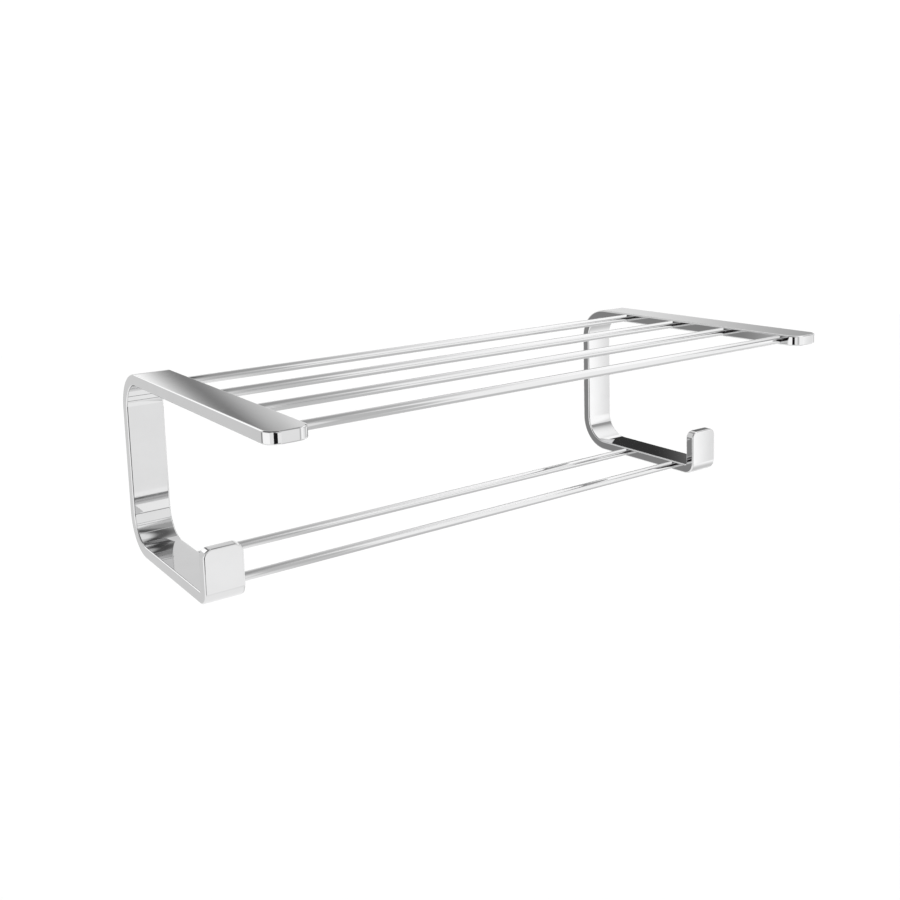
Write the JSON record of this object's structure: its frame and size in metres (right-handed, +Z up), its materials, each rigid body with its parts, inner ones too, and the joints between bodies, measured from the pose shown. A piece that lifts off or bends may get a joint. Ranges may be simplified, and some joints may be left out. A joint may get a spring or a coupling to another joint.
{
  "type": "towel rack",
  "caption": "Wall-mounted towel rack: bent-strap chrome brackets carry a shelf of round rods, lower rods for hanging towels, and upturned hooks.",
  "frame": {"origin": "on the wall plane, at the centre of the rectangle of four wall-screw holes, halfway between the brackets and at half their height", "axes": "+X along the rods, to the right as seen from the room; +Y into the wall, the rack reaching out towards -Y; +Z up"},
  "size_m": [0.6, 0.31, 0.17],
  "materials": {
    "bracket_chrome": "mirror-polished chrome plate on die-cast zinc",
    "rod_chrome": "bright chrome plate on drawn tube, with faint lengthwise drawing marks",
    "spigot_brass": "turned, unplated",
    "screw_black": "black-oxide hardened steel",
    "plate_zinc": "zinc-plated pressed steel"
  },
  "bodies": {
    "root": {"left_bracket": "bracket_chrome", "left_wall_plate": "plate_zinc", "left_lock_screw": "screw_black", "right_bracket": "bracket_chrome", "right_wall_plate": "plate_zinc", "right_lock_screw": "screw_black", "upper_rod_1": "rod_chrome", "upper_rod_1_left_spigot": "spigot_brass", "upper_rod_1_left_screw": "screw_black", "upper_rod_1_right_spigot": "spigot_brass", "upper_rod_1_right_screw": "screw_black", "upper_rod_2": "rod_chrome", "upper_rod_2_left_spigot": "spigot_brass", "upper_rod_2_left_screw": "screw_black", "upper_rod_2_right_spigot": "spigot_brass", "upper_rod_2_right_screw": "screw_black", "upper_rod_3": "rod_chrome", "upper_rod_3_left_spigot": "spigot_brass", "upper_rod_3_left_screw": "screw_black", "upper_rod_3_right_spigot": "spigot_brass", "upper_rod_3_right_screw": "screw_black", "upper_rod_4": "rod_chrome", "upper_rod_4_left_spigot": "spigot_brass", "upper_rod_4_left_screw": "screw_black", "upper_rod_4_right_spigot": "spigot_brass", "upper_rod_4_right_screw": "screw_black", "lower_rod_1": "rod_chrome", "lower_rod_1_left_spigot": "spigot_brass", "lower_rod_1_left_screw": "screw_black", "lower_rod_1_right_spigot": "spigot_brass", "lower_rod_1_right_screw": "screw_black", "lower_rod_2": "rod_chrome", "lower_rod_2_left_spigot": "spigot_brass", "lower_rod_2_left_screw": "screw_black", "lower_rod_2_right_spigot": "spigot_brass", "lower_rod_2_right_screw": "screw_black"}
  },
  "joints": []
}
